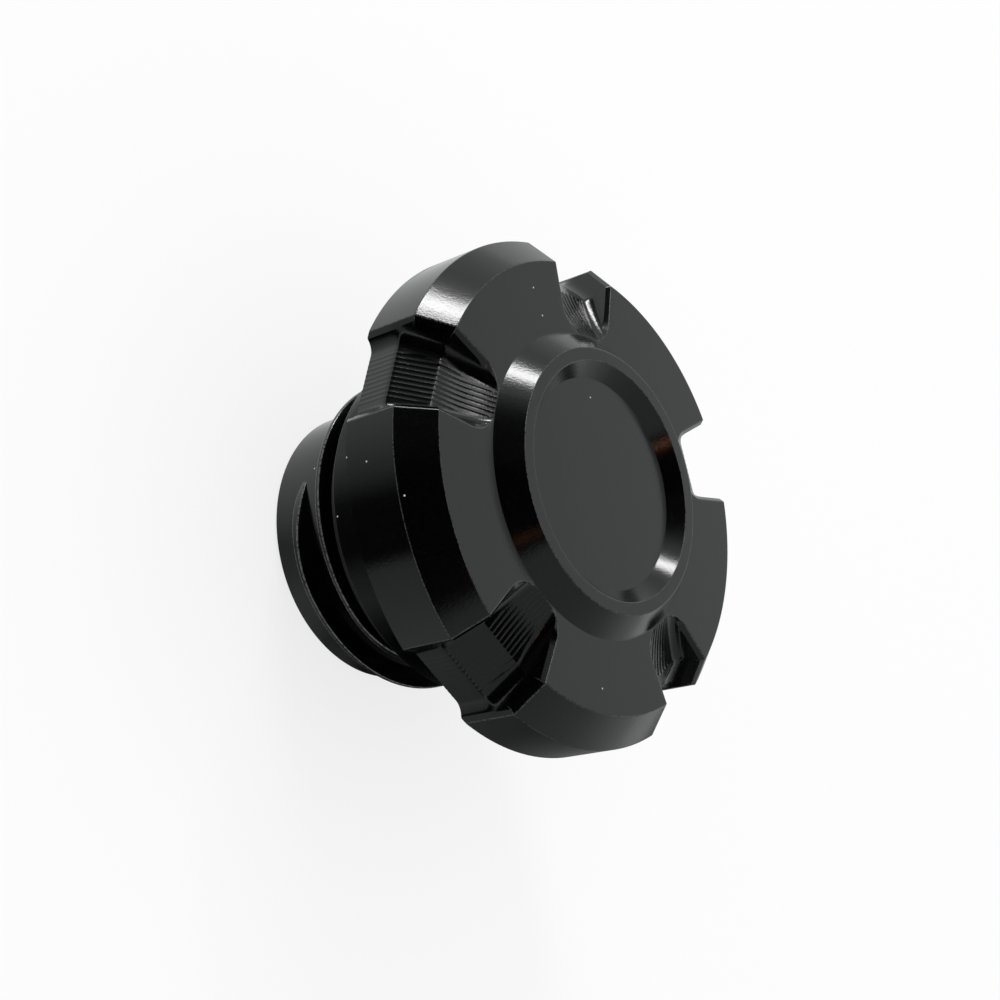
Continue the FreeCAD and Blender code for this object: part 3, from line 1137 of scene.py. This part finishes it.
def place_softbox(studio):
    """One long softbox beside the cap."""
    data = bpy.data.lights.new("softbox", "AREA")
    data.shape = "RECTANGLE"
    data.size = studio.softbox_width
    data.size_y = studio.softbox_length
    # This power gives the lamp's face its brightness
    data.energy = studio.softbox_radiance * math.pi * studio.softbox_width * studio.softbox_length
    softbox = new_piece("softbox", data)
    back = direction(studio.softbox_azimuth, studio.softbox_elevation)
    softbox.location = Vector(studio.aim) + back * studio.softbox_distance
    roll = Quaternion((0, 0, 1), studio.softbox_roll)
    softbox.rotation_euler = (back.to_track_quat("Z", "Y") @ roll).to_euler()


def light_room(studio):
    """An evenly white room."""
    world = bpy.data.worlds.new("white_room")
    world.use_nodes = True
    room = world.node_tree.nodes["Background"].inputs
    room["Color"].default_value = (1.0, 1.0, 1.0, 1.0)
    room["Strength"].default_value = studio.room_light
    bpy.context.scene.world = world


def place_stage(name, work, finish):
    """A piece of the studio, made from a working mesh."""
    mesh = bpy.data.meshes.new(name)
    work.to_mesh(mesh)
    work.free()
    mesh.materials.append(finish)
    piece = new_piece(name, mesh)
    return piece


def place_reflector(name, work, finish):
    """A piece of the studio that only shows in the gloss of the cap."""
    piece = place_stage(name, work, finish)
    piece.visible_camera = False
    piece.visible_diffuse = False
    piece.visible_shadow = False


def place_disc(radius, height=0.0):
    """A working mesh of a round sheet."""
    work = bmesh.new()
    bmesh.ops.create_circle(
        work, cap_ends=True, segments=DISC_PARTS, radius=radius, matrix=Matrix.Translation((0, 0, height)))
    return work


def place_card(name, azimuth, elevation, distance, radius, finish):
    """A round card in the tent that faces the cap."""
    back = direction(math.radians(azimuth), math.radians(elevation))
    work = place_disc(radius)
    turn = back.to_track_quat("Z", "Y").to_matrix().to_4x4()
    bmesh.ops.transform(work, matrix=Matrix.Translation(back * distance) @ turn, verts=work.verts)
    place_reflector(name, work, finish)


def place_tent(studio):
    """The painted tent, its mat and its cards."""
    work = bmesh.new()
    bmesh.ops.create_icosphere(work, subdivisions=TENT_PARTS, radius=studio.tent_radius)
    below = [vertex for vertex in work.verts if vertex.co.z < TENT_FOOT * studio.tent_radius]
    bmesh.ops.delete(work, geom=below, context="VERTS")
    place_reflector("tent", work, painted_finish("tent_paint", TENT_WALL))
    for number, (name, radius, stops) in enumerate(MAT_RINGS, 1):
        sheet = place_disc(radius * MM, SHEET_GAP * number)
        place_reflector(name, sheet, painted_finish(name + "_paint", stops))
    for name, azimuth, elevation, size, distance, tint in CARDS:
        radius = distance * MM * math.tan(math.radians(size))
        place_card(name, azimuth, elevation, distance * MM, radius, glowing_finish(name, tint))


class FUELCAP_OT_studio(bpy.types.Operator):
    """Sets up the floor, the lights and the camera"""
    bl_idname = "fuelcap.studio"
    bl_label = "Studio"

    def execute(self, context):
        cap = context.scene.fuel_cap
        place_stage("floor", place_disc(cap.studio.floor_radius), floor_finish(cap.finish))
        light_room(cap.studio)
        place_tent(cap.studio)
        place_softbox(cap.studio)
        place_camera(cap.studio)
        context.scene.view_settings.view_transform = "Standard"
        return {"FINISHED"}


class FUELCAP_PT_sidebar(bpy.types.Panel):
    """Lists the cap's sizes and the buttons that build it"""
    bl_idname = "FUELCAP_PT_sidebar"
    bl_label = "Fuel cap"
    bl_space_type = "VIEW_3D"
    bl_region_type = "UI"
    bl_category = "Fuel cap"

    def draw(self, context):
        cap = context.scene.fuel_cap
        for operator in OPERATORS:
            self.layout.operator(operator.bl_idname)
        for group in (cap.head, cap.scallop, cap.neck, cap.thread, cap.seal, cap.finish, cap.studio):
            box = self.layout.box()
            for name in group.__annotations__:
                box.prop(group, name)


GROUPS = (
    HeadSizes, ScallopSizes, NeckSizes, ThreadSizes, SealSizes, FinishColours, StudioSizes, CapSettings)
OPERATORS = (FUELCAP_OT_cap_body, FUELCAP_OT_seal_ring, FUELCAP_OT_studio)


def register():
    """Makes the add-on known to Blender."""
    for made in GROUPS + OPERATORS + (FUELCAP_PT_sidebar,):
        bpy.utils.register_class(made)
    bpy.types.Scene.fuel_cap = bpy.props.PointerProperty(type=CapSettings)


def unregister():
    """Takes the add-on out of Blender again."""
    del bpy.types.Scene.fuel_cap
    for made in reversed(GROUPS + OPERATORS + (FUELCAP_PT_sidebar,)):
        bpy.utils.unregister_class(made)


def main():
    """Builds the cap and its studio."""
    register()
    bpy.ops.fuelcap.cap_body()
    bpy.ops.fuelcap.seal_ring()
    bpy.ops.fuelcap.studio()


if __name__ == "__main__":
    main()
